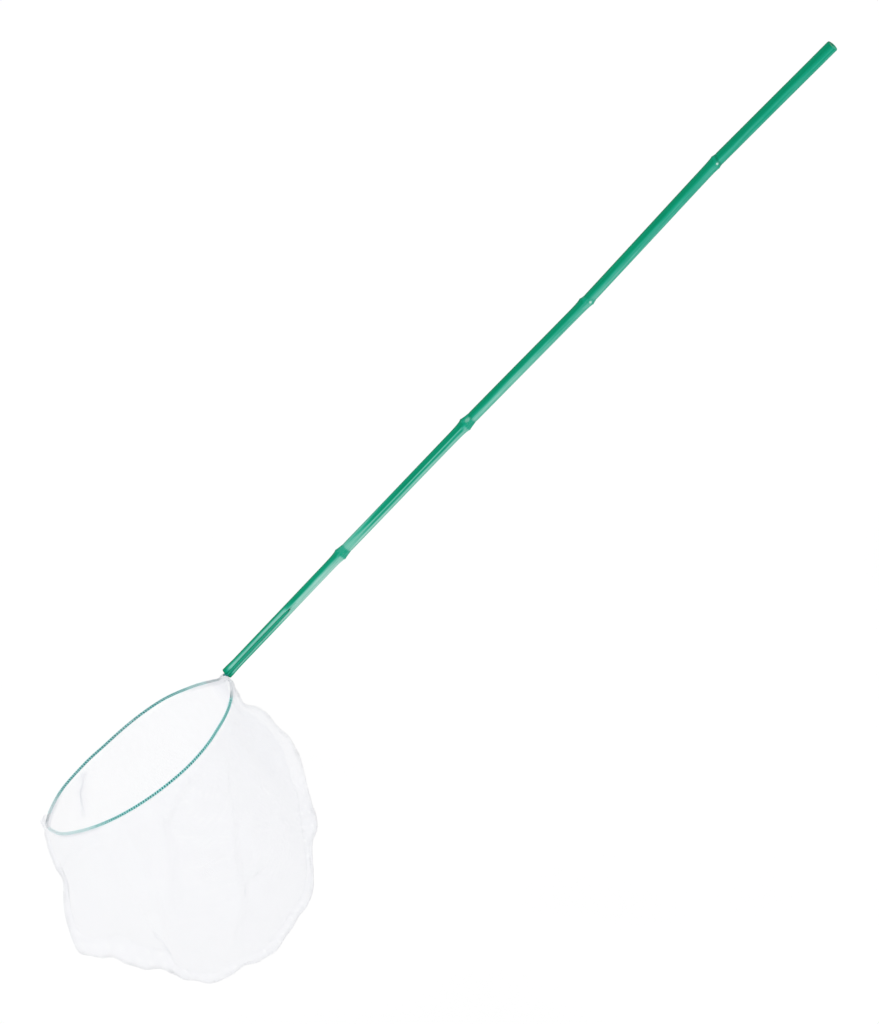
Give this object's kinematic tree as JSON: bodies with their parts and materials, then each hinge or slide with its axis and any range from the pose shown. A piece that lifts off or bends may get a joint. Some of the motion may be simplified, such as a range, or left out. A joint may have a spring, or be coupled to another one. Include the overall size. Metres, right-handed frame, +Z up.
{
  "type": "pond net",
  "caption": "Hand-held pond net: a green bamboo cane, its split end holding a wire hoop, with a deep white mesh bag hemmed over the wire.",
  "frame": {"origin": "on the cane's axis where the hand grips it, 120 mm from the butt end", "axes": "+Z up; the cane slopes up to +X in the XZ plane with the hoop at its lower end; the hoop lies level across, along Y; the bag hangs down"},
  "size_m": [0.6286, 0.1868, 0.8067],
  "materials": {
    "green_bamboo": "green dye under glossy lacquer",
    "green_wire": "green coating",
    "white_mesh": "fine open nylon mesh",
    "white_thread": "sewing thread"
  },
  "bodies": {
    "root": {"bamboo_cane": "green_bamboo", "hoop_wire": "green_wire", "net_front_panel": "white_mesh", "net_back_panel": "white_mesh", "seam_overlock": "white_thread", "hem_stitch_front": "white_thread", "hem_stitch_back": "white_thread"}
  },
  "joints": []
}
